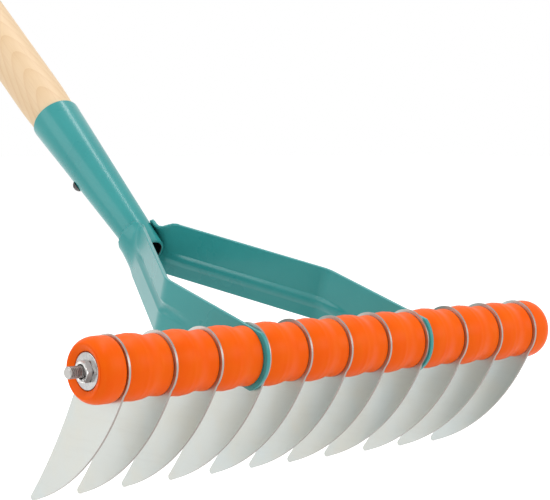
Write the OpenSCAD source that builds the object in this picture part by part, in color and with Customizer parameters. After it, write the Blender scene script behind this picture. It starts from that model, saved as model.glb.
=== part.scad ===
// Thatch rake: a row of curved blades and rollers on one axle, carried by a
// two-armed fork with a socket for a long wooden handle.
// X runs along the axle, Y points back to the user, Z is up.

/* [Handle] */
// Full length of the wooden handle
handle_length = 1400; // [1200:10:1600]
// Diameter of the handle
handle_d = 29.2; // [27:0.2:32]
// Rise of the handle above level ground, degrees
handle_rise = 40; // [35:0.5:45]
// Length of the handle's end inside the socket
handle_depth = 95; // [80:1:105]
// Length of the short taper just above the socket
handle_taper = 24; // [12:1:40]

/* [Socket] */
// Length of the socket tube
socket_length = 120; // [110:1:140]
// How much wider than the handle the socket's mouth is
socket_flare = 1.1; // [0.5:0.1:2]
// Outer diameter of the socket's lower end
socket_end_d = 18.4; // [17:0.2:21]
// Wall of the socket
socket_wall = 1.6; // [1.2:0.1:2]
// Play between the handle and the socket
socket_play = 0.05; // [0.02:0.01:0.2]

/* [Handle screw] */
// Distance of the screw below the socket's mouth
screw_depth = 51; // [35:1:60]
// Turn of the screw under the socket, degrees from the left side
screw_turn = 50; // [30:1:70]
// Diameter of the screw's head
screw_head_d = 7.2; // [6:0.2:8]
// Height of the screw's head
screw_head_h = 2.4; // [1.6:0.1:3]
// Diameter of the screw's shank
screw_shank_d = 3.6; // [3:0.1:4.5]
// Length of the screw's shank
screw_length = 11; // [9:0.5:12]

/* [Fork] */
// Width of the fork's steel strip
strip_w = 30.6; // [28:0.2:34]
// Thickness of the fork's steel strip
strip_t = 2.2; // [1.8:0.1:2.6]
// Rise of the fork above level ground, degrees
fork_rise = 16.9; // [14:0.1:20]
// Distance from the axle to the bend where the arms turn in
fork_bend = 70; // [66:1:78]
// Distance from the axle to the socket's lower end, along the fork
fork_reach = 157; // [150:1:170]
// Drop of the socket's lower end below the fork's middle line
fork_drop = 3.1; // [2:0.1:5]
// Inner radius of the bend where the arms turn in
bend_r = 14; // [8:1:20]
// Radius of the bend where the arms meet the socket
joint_r = 20; // [12:1:24]
// Radius of each arm's eye
eye_r = 17.6; // [17.2:0.2:21]
// Length of the half shell where each arm wraps the socket
wrap_l = 15; // [12:0.5:20]
// How much wider than the socket that half shell is curved
wrap_loose = 1.2; // [1.1:0.02:1.3]
// How far each edge of that half shell is cut back at its end
wrap_taper = 3; // [1:0.5:4]
// Play between that half shell and the socket
wrap_play = 0.15; // [0.1:0.05:0.3]
// Depth of the crease pressed along each arm
crease_depth = 1.75; // [1.25:0.25:2.5]
// Width of the crease pressed along each arm
crease_w = 8; // [7:0.5:12]
// Height of the left arm's crease above the middle of its strip
crease_left = 0; // [-4:0.5:4]
// Height of the right arm's crease above the middle of its strip
crease_right = -5; // [-6:0.5:4]
// Thickness of the weld bead at each arm's end
weld_d = 3; // [2.4:0.2:3.4]

/* [Blades] */
// Distance from blade to blade
pitch = 28; // [26:0.5:31]
// Thickness of a blade
blade_t = 1.2; // [1:0.1:1.8]
// Radius of a blade's round head
head_r = 16.6; // [16.2:0.1:17.5]
// Radius of a blade's curved front edge
front_r = 119.7; // [114:0.1:126]
// Distance from the axle to the front edge
front_gap = 15.8; // [15:0.1:16]
// Radius of a blade's hollow back edge
back_r = 283.8; // [265:0.2:305]
// Distance from the axle to the back edge
back_gap = 18.5; // [17:0.1:20]
// Radius of a blade's rounded tip
tip_r = 1.6; // [1:0.1:2.4]

/* [Rollers] */
// Largest radius of a middle roller
roller_r = 16; // [15.4:0.1:16.6]
// Radius of a middle roller's narrower end
neck_r = 14.6; // [13.6:0.1:15.2]
// Rounding of a middle roller's rims
rim_r = 0.5; // [0.4:0.1:2]
// Largest radius of an end roller
end_roller_r = 16.1; // [15.4:0.1:17]
// Full length of an end roller
end_roller_l = 14; // [13:0.25:16]
// Depth of the washer's seat in an end roller
seat_depth = 3.4; // [2.8:0.1:4]
// Play between the washer and its seat in an end roller
seat_play = 0.4; // [0.2:0.1:0.8]

/* [Axle] */
// Diameter of the axle rod
rod_d = 6; // [5.6:0.1:6.2]
// How much thinner the rod's free ends are, whose thread is left plain
rod_relief = 0.4; // [0.34:0.02:0.6]
// Length of rod that stands out of each nut
rod_free = 7.8; // [5:0.2:9]
// Outer diameter of the distance sleeves
sleeve_d = 9; // [8.6:0.2:11]
// Play round the rod
rod_play = 0.05; // [0.03:0.01:0.1]
// Play of a roller on its sleeve
roller_play = 0.06; // [0.03:0.01:0.1]
// Play at each end of a roller
side_play = 0.2; // [0.1:0.05:0.4]
// Play on each side of an arm's eye
eye_play = 0.1; // [0.05:0.05:0.3]
// Diameter of the washers
washer_d = 18; // [16:0.5:20]
// Thickness of the washers
washer_t = 1.6; // [1.2:0.1:2]
// Width of the nuts across the flats
nut_af = 10; // [9.5:0.1:11]
// Thickness of the nuts
nut_t = 3.2; // [2.8:0.1:6]

/* [Hidden] */

$fn = 96;
teal = [0.22, 0.58, 0.58];
orange = [1.0, 0.36, 0.03];
zinc = [0.82, 0.82, 0.79];
wood = [0.93, 0.81, 0.64];
black = [0.10, 0.10, 0.10];
// a small overlap for clean cuts
eps = 0.01;
// length of cutters that pass right through
far = 60;

// number of blades, and the two blades that the arms stand beside
blades = 11;
mid_blade = (blades + 1) / 2;
arm_step = 2;

// the handle and the socket
handle_r = handle_d / 2;
end_or = socket_end_d / 2;
mouth_or = handle_r + socket_flare / 2;
socket_slope = (mouth_or - end_or) / socket_length;
handle_start = socket_length - handle_depth;
mouth_round = 0.5;
dome_steps = 12;
// chamfer on the handle's hidden end
butt_chamfer = 1;
function socket_or(s) = end_or + socket_slope * s;
function seat_r(s) = socket_or(s) - socket_wall - socket_play;

// the handle screw
screw_height = socket_length - screw_depth;
screw_point = 3;
screw_dome_r = (pow(screw_head_d / 2, 2) + pow(screw_head_h, 2)) / (2 * screw_head_h);
screw_dome_steps = 8;
screw_slot_w = 1;
screw_slot_h = 0.9;
screw_hole_play = 0.1;
// how far the flat head is drawn into the round socket
screw_draw = 0.1;

// the fork's place
socket_y = fork_reach * cos(fork_rise) + fork_drop * sin(fork_rise);
socket_z = fork_reach * sin(fork_rise) - fork_drop * cos(fork_rise);
socket_turn = handle_rise - fork_rise;

// the row along the axle
gap = pitch - blade_t;
eye_room = strip_t + 2 * eye_play;
eye_x = arm_step * pitch + blade_t / 2 + eye_room / 2;
function side(k) = k < mid_blade - arm_step ? -1 : k > mid_blade + arm_step ? 1 : 0;
function blade_x(k) = (k - mid_blade) * pitch + side(k) * eye_room;
row_end = blade_x(blades) + blade_t / 2;
end_sleeve_l = end_roller_l - seat_depth;
washer_x = row_end + end_sleeve_l;
nut_x = washer_x + washer_t;
rod_end = nut_x + nut_t + rod_free;
rod_chamfer = 0.7;
nut_chamfer = 30;
bore_r = rod_d / 2 + rod_play;

// the blade's outline: two arcs that meet at the tip
front_turn = 25.6;
back_turn = 22.7;
front_way = [cos(front_turn), sin(front_turn)];
back_way = [cos(back_turn), sin(back_turn)];
front_c = front_way * (front_r - front_gap);
back_c = back_way * (back_r + back_gap);
shoulder_c = [5.5, -2];
shoulder_r = norm(back_c - shoulder_c) - back_r;
shoulder_top = shoulder_c[1] + shoulder_r * (back_c[1] - shoulder_c[1]) / norm(back_c - shoulder_c);
function meet(a, ra, b, rb) =
    let (d = norm(b - a), e = (b - a) / d, k = (ra * ra - rb * rb + d * d) / (2 * d))
    a + e * k + [e[1], -e[0]] * sqrt(ra * ra - k * k);
tip_c = meet(front_c, front_r - tip_r, back_c, back_r + tip_r);
tip_front = front_c + (tip_c - front_c) * front_r / (front_r - tip_r);
tip_back = back_c + (tip_c - back_c) * back_r / (back_r + tip_r);
tip_way = tip_c / norm(tip_c);
tip_cut = 12;
// the round shoulder and tip stand this much proud of the arcs that they join
blend = 0.04;
arc_fn = 720;

// the whole rake stands with its tips on the ground, centred in X and Y
handle_end = handle_start + handle_length;
back_y = socket_y + (handle_end - handle_r) * cos(handle_rise) + handle_r;
axle_y = (eye_r - back_y) / 2;
axle_z = tip_r + blend - tip_c[1];

// the arms' path lies in the fork's plane, as points of x and distance from the axle;
// this is the point where the straight run of an arm turns along the socket's side
joint_lead = 1;
joint_u = fork_reach - joint_lead;
joint_x = end_or + wrap_play + strip_t / 2;
splay = atan((eye_x - joint_x) / (joint_u - fork_bend));
cone_turn = atan(socket_slope / cos(socket_turn));
bend_mid_r = bend_r + strip_t / 2;
bend_reach = bend_mid_r * tan(splay / 2);
joint_reach = joint_r * tan((splay + cone_turn) / 2);
way_in = [-sin(splay), cos(splay)];
way_end = [sin(cone_turn), cos(cone_turn)];
plate_end = 30;
plate_hold = 5;
bend_steps = 6;
run_steps = 8;
end_steps = 3;
// where the strip starts to change into the half shell, and where it ends
wrap_ease = 6;
wrap_from = fork_reach - wrap_ease;
wrap_to = fork_reach + wrap_l * cos(socket_turn);
// the crease begins, is deepest, and starts to run out at these distances from the axle
crease_lead = 14;
crease_settle = 2;
crease_run_out = 14;
crease_from = plate_end + crease_lead;
crease_full = fork_bend + crease_settle;
crease_ease = fork_reach - crease_run_out;
strip_points = 12;
// how much smaller the sweep starts inside the flat eye plate
plate_skin = 0.05;

function smooth(t) = let (c = min(max(t, 0), 1)) c * c * (3 - 2 * c);
function crease_at(u) =
    crease_depth * smooth((u - crease_from) / (crease_full - crease_from))
    * (1 - smooth((u - crease_ease) / crease_run_out));
function rib(w, ridge) = let (a = 2 * (w - ridge) / crease_w) abs(a) < 1 ? pow(cos(90 * a), 2) : 0;

bend_at = [eye_x, fork_bend];
joint_at = [joint_x, joint_u];
bend_from = bend_at - [0, bend_reach];
bend_to = bend_at + way_in * bend_reach;
joint_from = joint_at - way_in * joint_reach;
joint_to = joint_at + way_end * joint_reach;
end_at = joint_at + way_end * (wrap_to - joint_u) / way_end[1];
arm_first = plate_end - plate_hold;
// half the strip's width at distance u from the axle
function half_at(u) = strip_w / 2 - wrap_taper * smooth((u - wrap_from) / (wrap_to - wrap_from));
// each station is a point of the path and the direction there
stations = concat(
    [for (i = [0 : run_steps - 1])
        [[eye_x, arm_first + (bend_from[1] - arm_first) * i / run_steps], [0, 1]]],
    [for (i = [0 : bend_steps]) let (a = splay * i / bend_steps)
        [bend_from + bend_mid_r * [cos(a) - 1, sin(a)], [-sin(a), cos(a)]]],
    [for (i = [1 : run_steps - 1])
        [bend_to + (joint_from - bend_to) * i / run_steps, way_in]],
    [for (i = [0 : bend_steps]) let (a = splay - (splay + cone_turn) * i / bend_steps)
        [joint_from + joint_r * [cos(splay) - cos(a), sin(splay) - sin(a)], [-sin(a), cos(a)]]],
    [for (i = [1 : end_steps]) [joint_to + (end_at - joint_to) * i / end_steps, way_end]]
);

// a point of the strip, q across it and off out from its middle, at place p and direction d
function flat_point(p, d, q, off, ridge) =
    let (lift = crease_at(p[1]) * rib(q, ridge), r = p + [-d[1], d[0]] * (lift - off))
    [r[0], r[1], q];
// the same point wrapped round the socket at height s
function shell_point(s, q, off) =
    let (
        near = socket_or(s) + wrap_play + strip_t / 2,
        mid = near * wrap_loose,
        a = q / mid * 180 / PI,
        r = mid + off,
        up = r * sin(a)
    )
    [
        r * cos(a) - (mid - near),
        fork_reach + s * cos(socket_turn) - up * sin(socket_turn),
        s * sin(socket_turn) + up * cos(socket_turn) - fork_drop
    ];
function arm_point(p, d, q, off, ridge) =
    let (
        h = smooth((p[1] - wrap_from) / (wrap_to - wrap_from)),
        s = (p[1] - fork_reach) / cos(socket_turn)
    )
    flat_point(p, d, q, off, ridge) * (1 - h) + shell_point(s, q, off) * h;
function ring(i, ridge) =
    let (
        p = stations[i][0],
        d = stations[i][1],
        skin = i == 0 ? plate_skin : 0,
        half = half_at(p[1]) - skin,
        thick = strip_t / 2 - skin,
        rows = [for (j = [0 : strip_points]) -half + 2 * half * j / strip_points]
    )
    concat(
        [for (q = rows) arm_point(p, d, q, thick, ridge)],
        [for (j = [strip_points : -1 : 0]) arm_point(p, d, rows[j], -thick, ridge)]
    );

module on_axle() {
    translate([0, axle_y, axle_z]) children();
}

module on_fork() {
    on_axle() rotate([fork_rise, 0, 0]) children();
}

module on_socket() {
    on_axle() translate([0, socket_y, socket_z]) rotate([handle_rise - 90, 0, 0]) children();
}

// turns a flat shape in X and Y into one in Y and Z, and height into X
module along_x(x = 0) {
    on_axle() translate([x, 0, 0]) rotate([90, 0, 90]) children();
}

module tube(r_out, r_in, h) {
    difference() {
        cylinder(r = r_out, h = h);
        translate([0, 0, -eps]) cylinder(r = r_in, h = h + 2 * eps);
    }
}

module strip_sweep(ridge) {
    count = 2 * (strip_points + 1);
    last = len(stations) - 1;
    points = [for (i = [0 : last]) each ring(i, ridge)];
    sides = [
        for (i = [0 : last - 1]) for (j = [0 : count - 1])
            let (a = i * count + j, b = i * count + (j + 1) % count)
            each [[a, b, b + count], [a, b + count, a + count]]
    ];
    caps = [
        for (j = [0 : strip_points - 1])
            let (a = j, b = j + 1, c = count - 2 - j, d = count - 1 - j, top = last * count)
            each [[a, c, b], [a, d, c], [top + a, top + b, top + c], [top + a, top + c, top + d]]
    ];
    polyhedron(points = points, faces = concat(caps, sides));
}

module eye_plate() {
    translate([eye_x - strip_t / 2, 0, 0]) rotate([90, 0, 90]) linear_extrude(strip_t)
        intersection() {
            union() {
                circle(r = eye_r);
                translate([0, -far]) square([far, 2 * far]);
            }
            translate([-far, -strip_w / 2]) square([far + plate_end, strip_w]);
        }
}

module arm(ridge) {
    difference() {
        union() {
            eye_plate();
            strip_sweep(ridge);
        }
        rotate([0, 90, 0]) cylinder(r = bore_r, h = 2 * far);
    }
}

// the bead round the half shell's end, seen from the socket
module weld() {
    near = socket_or(wrap_l) + wrap_play + strip_t / 2;
    mid = near * wrap_loose;
    curl = half_at(wrap_to) / mid * 180 / PI;
    edge = atan2(mid * sin(curl), mid * cos(curl) - (mid - near));
    lift = 0.4;
    rotate([0, 0, -edge]) rotate_extrude(angle = 2 * edge)
        translate([socket_or(wrap_l) + lift, wrap_l + lift]) circle(d = weld_d);
}

module blade(k) {
    along_x(blade_x(k) - blade_t / 2) linear_extrude(blade_t)
        difference() {
            union() {
                circle(r = head_r);
                translate(shoulder_c) circle(r = shoulder_r + blend);
                translate(tip_c) circle(r = tip_r + blend);
                difference() {
                    intersection() {
                        translate(front_c) circle(r = front_r, $fn = arc_fn);
                        polygon([
                            -front_way * far, [0, 0], [0, shoulder_top], [far, shoulder_top],
                            [2 * far, -2 * far], [-far, -2 * far]
                        ]);
                    }
                    translate(back_c) circle(r = back_r, $fn = arc_fn);
                    polygon([tip_front, tip_back, tip_back + tip_way * tip_cut, tip_front + tip_way * tip_cut]);
                }
            }
            circle(r = bore_r);
        }
}

// rounding of a rim at distance d from the roller's face
function rim_cut(d) = d >= rim_r ? 0 : rim_r - sqrt(pow(rim_r, 2) - pow(rim_r - d, 2));

// radius of a middle roller at t, its distance from the left face as a share of its length
function roller_at(t) =
    let (lead = 0.04, rise = 0.36, hold = 0.5, fall = 0.79)
    neck_r + (roller_r - neck_r) * smooth((t + lead) / rise) * (1 - smooth((t - hold) / (fall - hold)));

module mid_roller(x) {
    length = gap - 2 * side_play;
    rim_steps = 4;
    body_steps = 22;
    rim = [for (i = [0 : rim_steps]) rim_r * (1 - cos(90 * i / rim_steps))];
    body = [for (i = [1 : body_steps - 1]) rim_r + (length - 2 * rim_r) * i / body_steps];
    places = concat(rim, body, [for (i = [rim_steps : -1 : 0]) length - rim[i]]);
    along_x(x + side_play) rotate_extrude()
        polygon(concat(
            [[sleeve_d / 2 + roller_play, length], [sleeve_d / 2 + roller_play, 0]],
            [for (h = places) [roller_at(h / length) - rim_cut(h) - rim_cut(length - h), h]]
        ));
}

// an end roller, seen from the blade outwards
module end_roller() {
    inner_h = side_play;
    flat_h = 6.3;
    face_r = 12.2;
    round_steps = 10;
    hollow_r = washer_d / 2 + seat_play;
    hole_r = sleeve_d / 2 + roller_play;
    rise_steps = 6;
    rise_h = 2.5;
    foot_drop = 0.9;
    foot_r = end_roller_r - foot_drop;
    // the face is dished down to the washer's own face
    lip_h = end_sleeve_l + washer_t;
    rotate_extrude()
        polygon(concat(
            [
                [hole_r, end_sleeve_l - side_play],
                [hole_r, inner_h],
                [foot_r, inner_h]
            ],
            [for (i = [1 : rise_steps]) let (t = i / rise_steps)
                [foot_r + (end_roller_r - foot_r) * sin(90 * t), inner_h + rise_h * (1 - cos(90 * t))]],
            [for (i = [0 : round_steps]) let (a = 90 * i / round_steps)
                [face_r + (end_roller_r - face_r) * cos(a), flat_h + (end_roller_l - flat_h) * sin(a)]],
            [[hollow_r, lip_h], [hollow_r, end_sleeve_l - side_play]]
        ));
}

// places a part on the left or the right end of the row
module at_end(s) {
    on_axle() rotate([0, 0, s > 0 ? 0 : 180]) rotate([90, 0, 90]) children();
}

// left face of roller or sleeve n in the middle of the row
function slot_x(n) = n > mid_blade + arm_step ? blade_x(n) - blade_t / 2 - gap : blade_x(n - 1) + blade_t / 2;

module sleeve(n) {
    along_x(slot_x(n)) tube(sleeve_d / 2, bore_r, gap);
}

module end_sleeve(s) {
    at_end(s) translate([0, 0, row_end]) tube(sleeve_d / 2, bore_r, end_sleeve_l);
}

module nut() {
    nut_r = nut_af / 2 / cos(30);
    chamfer_h = (nut_r - nut_af / 2) * tan(nut_chamfer);
    difference() {
        intersection() {
            cylinder(r = nut_r, h = nut_t, $fn = 6);
            rotate_extrude() polygon([
                [0, 0], [nut_af / 2, 0], [nut_r, chamfer_h],
                [nut_r, nut_t - chamfer_h], [nut_af / 2, nut_t], [0, nut_t]
            ]);
        }
        translate([0, 0, -eps]) cylinder(r = bore_r, h = nut_t + 2 * eps);
    }
}

module handle() {
    color(wood) on_socket() rotate_extrude()
        polygon(concat(
            [
                [0, handle_start],
                [seat_r(handle_start) - butt_chamfer, handle_start],
                [seat_r(handle_start + butt_chamfer), handle_start + butt_chamfer],
                [seat_r(socket_length), socket_length],
                [handle_r, socket_length + handle_taper]
            ],
            [for (i = [0 : dome_steps]) let (a = 90 * i / dome_steps)
                [i == dome_steps ? 0 : handle_r * cos(a), handle_end - handle_r + handle_r * sin(a)]]
        ));
}

module socket() {
    color(teal) on_socket() difference() {
        rotate_extrude() polygon([
            [end_or - socket_wall, 0],
            [end_or, 0],
            [socket_or(socket_length - mouth_round), socket_length - mouth_round],
            [mouth_or - mouth_round, socket_length],
            [mouth_or - socket_wall, socket_length]
        ]);
        translate([0, 0, screw_height]) rotate([0, 0, 180 - screw_turn]) rotate([0, 90, 0])
            cylinder(d = screw_shank_d + 2 * screw_hole_play, h = far);
    }
}

module handle_screw() {
    color(black) on_socket() translate([0, 0, screw_height]) rotate([0, 0, 180 - screw_turn])
        rotate([0, 90, 0]) translate([0, 0, socket_or(screw_height) - screw_draw]) difference() {
            rotate_extrude() polygon(concat(
                [
                    [0, -screw_length],
                    [screw_shank_d / 2, screw_point - screw_length],
                    [screw_shank_d / 2, 0],
                    [screw_head_d / 2, 0]
                ],
                [for (i = [1 : screw_dome_steps])
                    let (r = screw_head_d / 2 * (1 - i / screw_dome_steps))
                    [r, screw_head_h - screw_dome_r + sqrt(pow(screw_dome_r, 2) - r * r)]]
            ));
            translate([-screw_slot_w / 2, -screw_head_d, screw_head_h - screw_slot_h])
                cube([screw_slot_w, 2 * screw_head_d, screw_head_h]);
        }
}

module arm_left() { color(teal) on_fork() mirror([1, 0, 0]) arm(crease_left); }
module arm_right() { color(teal) on_fork() arm(crease_right); }
module weld_left() { color(teal) on_socket() mirror([1, 0, 0]) weld(); }
module weld_right() { color(teal) on_socket() weld(); }

module axle_rod() {
    free_r = (rod_d - rod_relief) / 2;
    free_x = rod_end - rod_free;
    color(zinc) along_x() rotate_extrude() polygon([
        [0, -rod_end], [free_r - rod_chamfer, -rod_end], [free_r, rod_chamfer - rod_end],
        [free_r, -free_x], [rod_d / 2, -free_x], [rod_d / 2, free_x], [free_r, free_x],
        [free_r, rod_end - rod_chamfer], [free_r - rod_chamfer, rod_end], [0, rod_end]
    ]);
}

module washer_left() { color(zinc) at_end(-1) translate([0, 0, washer_x]) tube(washer_d / 2, bore_r, washer_t); }
module washer_right() { color(zinc) at_end(1) translate([0, 0, washer_x]) tube(washer_d / 2, bore_r, washer_t); }
module nut_left() { color(zinc) at_end(-1) translate([0, 0, nut_x]) nut(); }
module nut_right() { color(zinc) at_end(1) translate([0, 0, nut_x]) nut(); }

module blade_01() { color(zinc) blade(1); }
module blade_02() { color(zinc) blade(2); }
module blade_03() { color(zinc) blade(3); }
module blade_04() { color(zinc) blade(4); }
module blade_05() { color(zinc) blade(5); }
module blade_06() { color(zinc) blade(6); }
module blade_07() { color(zinc) blade(7); }
module blade_08() { color(zinc) blade(8); }
module blade_09() { color(zinc) blade(9); }
module blade_10() { color(zinc) blade(10); }
module blade_11() { color(zinc) blade(11); }

module roller_01() { color(orange) at_end(-1) translate([0, 0, row_end]) end_roller(); }
module roller_02() { color(orange) mid_roller(slot_x(2)); }
module roller_03() { color(orange) mid_roller(slot_x(3)); }
module roller_04() { color(orange) mid_roller(slot_x(4)); }
module roller_05() { color(orange) mid_roller(slot_x(5)); }
module roller_06() { color(orange) mid_roller(slot_x(6)); }
module roller_07() { color(orange) mid_roller(slot_x(7)); }
module roller_08() { color(orange) mid_roller(slot_x(8)); }
module roller_09() { color(orange) mid_roller(slot_x(9)); }
module roller_10() { color(orange) mid_roller(slot_x(10)); }
module roller_11() { color(orange) mid_roller(slot_x(11)); }
module roller_12() { color(orange) at_end(1) translate([0, 0, row_end]) end_roller(); }

module sleeve_01() { color(zinc) end_sleeve(-1); }
module sleeve_02() { color(zinc) sleeve(2); }
module sleeve_03() { color(zinc) sleeve(3); }
module sleeve_04() { color(zinc) sleeve(4); }
module sleeve_05() { color(zinc) sleeve(5); }
module sleeve_06() { color(zinc) sleeve(6); }
module sleeve_07() { color(zinc) sleeve(7); }
module sleeve_08() { color(zinc) sleeve(8); }
module sleeve_09() { color(zinc) sleeve(9); }
module sleeve_10() { color(zinc) sleeve(10); }
module sleeve_11() { color(zinc) sleeve(11); }
module sleeve_12() { color(zinc) end_sleeve(1); }

handle();
socket();
handle_screw();
arm_left();
arm_right();
weld_left();
weld_right();
axle_rod();
washer_left();
washer_right();
nut_left();
nut_right();
blade_01();
blade_02();
blade_03();
blade_04();
blade_05();
blade_06();
blade_07();
blade_08();
blade_09();
blade_10();
blade_11();
roller_01();
roller_02();
roller_03();
roller_04();
roller_05();
roller_06();
roller_07();
roller_08();
roller_09();
roller_10();
roller_11();
roller_12();
sleeve_01();
sleeve_02();
sleeve_03();
sleeve_04();
sleeve_05();
sleeve_06();
sleeve_07();
sleeve_08();
sleeve_09();
sleeve_10();
sleeve_11();
sleeve_12();
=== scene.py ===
"""A thatch rake: an ash handle in a painted steel socket, a fork with two arms, and a row of curved steel
blades with orange rollers between them on a threaded axle."""
import math

import bpy
from mathutils import Matrix, Vector, noise


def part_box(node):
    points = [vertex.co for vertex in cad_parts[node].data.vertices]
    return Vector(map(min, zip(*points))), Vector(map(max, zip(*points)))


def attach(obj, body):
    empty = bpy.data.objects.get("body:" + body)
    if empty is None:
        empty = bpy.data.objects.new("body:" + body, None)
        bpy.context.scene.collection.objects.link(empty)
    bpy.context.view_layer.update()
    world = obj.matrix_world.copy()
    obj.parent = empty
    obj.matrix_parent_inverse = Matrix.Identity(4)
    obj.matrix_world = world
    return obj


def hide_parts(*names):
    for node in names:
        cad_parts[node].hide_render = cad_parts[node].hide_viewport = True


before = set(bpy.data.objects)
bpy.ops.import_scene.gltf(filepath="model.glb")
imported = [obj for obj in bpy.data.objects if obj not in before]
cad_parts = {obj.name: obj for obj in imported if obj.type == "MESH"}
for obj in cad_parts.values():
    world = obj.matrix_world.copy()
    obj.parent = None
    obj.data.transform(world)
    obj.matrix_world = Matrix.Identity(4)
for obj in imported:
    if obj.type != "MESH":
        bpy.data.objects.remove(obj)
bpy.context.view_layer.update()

# Sizes of the rake, in millimetres and degrees

MM = 0.001
HANDLE_LENGTH = 1400.0
HANDLE_R = 14.6
HANDLE_RISE = 40.0
HANDLE_DEPTH = 95.0
HANDLE_TAPER = 24.0
SOCKET_LENGTH = 120.0
SOCKET_END_R = 9.2
SOCKET_MOUTH_R = 15.15
SOCKET_WALL = 1.6
SOCKET_PLAY = 0.05
SCREW_HEIGHT = 69.0
SCREW_TURN = 50.0
SCREW_HEAD_R = 3.6
SCREW_HEAD_H = 2.4
SCREW_SHANK_R = 1.8
SCREW_LENGTH = 11.0
STRIP_W = 30.6
STRIP_T = 2.2
FORK_RISE = 16.9
FORK_BEND = 70.0
FORK_REACH = 157.0
FORK_DROP = 3.1
BEND_R = 14.0
JOINT_R = 20.0
EYE_R = 17.6
WRAP_L = 15.0
WRAP_PLAY = 0.15
WRAP_LOOSE = 1.2
WRAP_TAPER = 3.0
CREASE_DEPTH = 1.75
CREASE_W = 8.0
CREASE_LEFT = 0.0
CREASE_RIGHT = -5.0
PITCH = 28.0
BLADE_T = 1.2
HEAD_R = 16.6
FRONT_R = 119.7
FRONT_GAP = 15.8
FRONT_TURN = 25.6
BACK_R = 283.8
BACK_GAP = 18.5
BACK_TURN = 22.7
SHOULDER = Vector((5.5, -2.0))
TIP_R = 1.6
ROLLER_R = 16.0
NECK_R = 14.6
RIM_R = 0.5
END_ROLLER_R = 16.1
ROLLER_BORE_R = 4.56
SIDE_PLAY = 0.2
END_ROLLER_L = 14.0
SEAT_DEPTH = 3.4
SEAT_PLAY = 0.4
EYE_ROOM = 2.4
BORE_R = 3.05
ROD_R = 3.0
THREAD_R = 2.95
ROD_FREE = 7.8
WASHER_R = 9.0
WASHER_T = 1.6
NUT_AF = 10.0
NUT_T = 3.2
BLADES = 11
MID_BLADE = 6
ARM_STEP = 2

GAP = PITCH - BLADE_T
EYE_X = ARM_STEP * PITCH + BLADE_T / 2 + EYE_ROOM / 2
HANDLE_START = SOCKET_LENGTH - HANDLE_DEPTH
HANDLE_END = HANDLE_START + HANDLE_LENGTH
SOCKET_SLOPE = (SOCKET_MOUTH_R - SOCKET_END_R) / SOCKET_LENGTH
SOCKET_TURN = math.radians(HANDLE_RISE - FORK_RISE)
STEPS_ROUND = 128


def blade_x(k):
    """Distance of a blade's middle from the middle of the row."""
    side = -1 if k < MID_BLADE - ARM_STEP else 1 if k > MID_BLADE + ARM_STEP else 0
    return (k - MID_BLADE) * PITCH + side * EYE_ROOM


ROW_END = blade_x(BLADES) + BLADE_T / 2
WASHER_X = ROW_END + END_ROLLER_L - SEAT_DEPTH
NUT_X = WASHER_X + WASHER_T
ROD_END = NUT_X + NUT_T + ROD_FREE

# Places of the rake's parts, as matrices from millimetres to the frame

rod_low, rod_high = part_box("axle_rod")
axle = (rod_low + rod_high) / 2
in_metres = Matrix.Scale(MM, 4)
on_axle = Matrix.Translation(axle) @ in_metres
on_fork = on_axle @ Matrix.Rotation(math.radians(FORK_RISE), 4, "X")
fork_way = Vector((0, math.cos(math.radians(FORK_RISE)), math.sin(math.radians(FORK_RISE))))
fork_down = Vector((0, math.sin(math.radians(FORK_RISE)), -math.cos(math.radians(FORK_RISE))))
socket_foot = fork_way * FORK_REACH + fork_down * FORK_DROP
handle_turn = Matrix.Rotation(math.radians(HANDLE_RISE - 90), 4, "X")
on_socket = on_axle @ Matrix.Translation(socket_foot) @ handle_turn
# height becomes X, and a flat shape's X and Y become Y and Z
along_x = on_axle @ Matrix(((0, 0, 1, 0), (1, 0, 0, 0), (0, 1, 0, 0), (0, 0, 0, 1)))
mirror_x = Matrix.Scale(-1, 4, (1, 0, 0))
half_turn = Matrix.Rotation(math.pi, 4, "Z")


def at_x(x):
    """Place of a flat piece or a turned one whose foot is at x on the axle."""
    return along_x @ Matrix.Translation((0, 0, x))


def at_end(right):
    """Place of a turned piece on the right or the left end of the row, its height outwards."""
    if right:
        return along_x
    return on_axle @ half_turn @ on_axle.inverted() @ along_x


# Modelling

def smooth(t):
    """Eases from 0 to 1."""
    t = min(max(t, 0.0), 1.0)
    return t * t * (3 - 2 * t)


def arc(centre, radius, start, end, steps):
    """Points on an arc, angles in degrees."""
    angles = [math.radians(start + (end - start) * i / steps) for i in range(steps + 1)]
    return [(centre[0] + radius * math.cos(a), centre[1] + radius * math.sin(a)) for a in angles]


def rounded(corners, steps=4):
    """A half section with its corners rounded; each corner is a radius, a height and its rounding."""
    points = []
    for i, (r, h, rounding) in enumerate(corners):
        here = Vector((r, h))
        if rounding == 0:
            points.append((r, h))
            continue
        before = Vector(corners[i - 1][:2])
        after = Vector(corners[(i + 1) % len(corners)][:2])
        come = (before - here).normalized()
        leave = (after - here).normalized()
        for k in range(steps + 1):
            t = k / steps
            bow = here + come * rounding * (1 - t) ** 2 + leave * rounding * t ** 2
            points.append((bow.x, bow.y))
    return points


def loop(points):
    """A closed loop of edges through the points."""
    bpy.ops.object.select_all(action="DESELECT")
    bpy.ops.mesh.primitive_circle_add(vertices=len(points), radius=1)
    piece = bpy.context.object
    for vertex, point in zip(piece.data.vertices, points):
        vertex.co = Vector(point).to_3d()
    return piece


def edit(piece):
    """Opens one piece in edit mode with all of it selected."""
    bpy.ops.object.select_all(action="DESELECT")
    piece.select_set(True)
    bpy.context.view_layer.objects.active = piece
    bpy.ops.object.mode_set(mode="EDIT")
    bpy.ops.mesh.select_all(action="SELECT")


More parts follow.
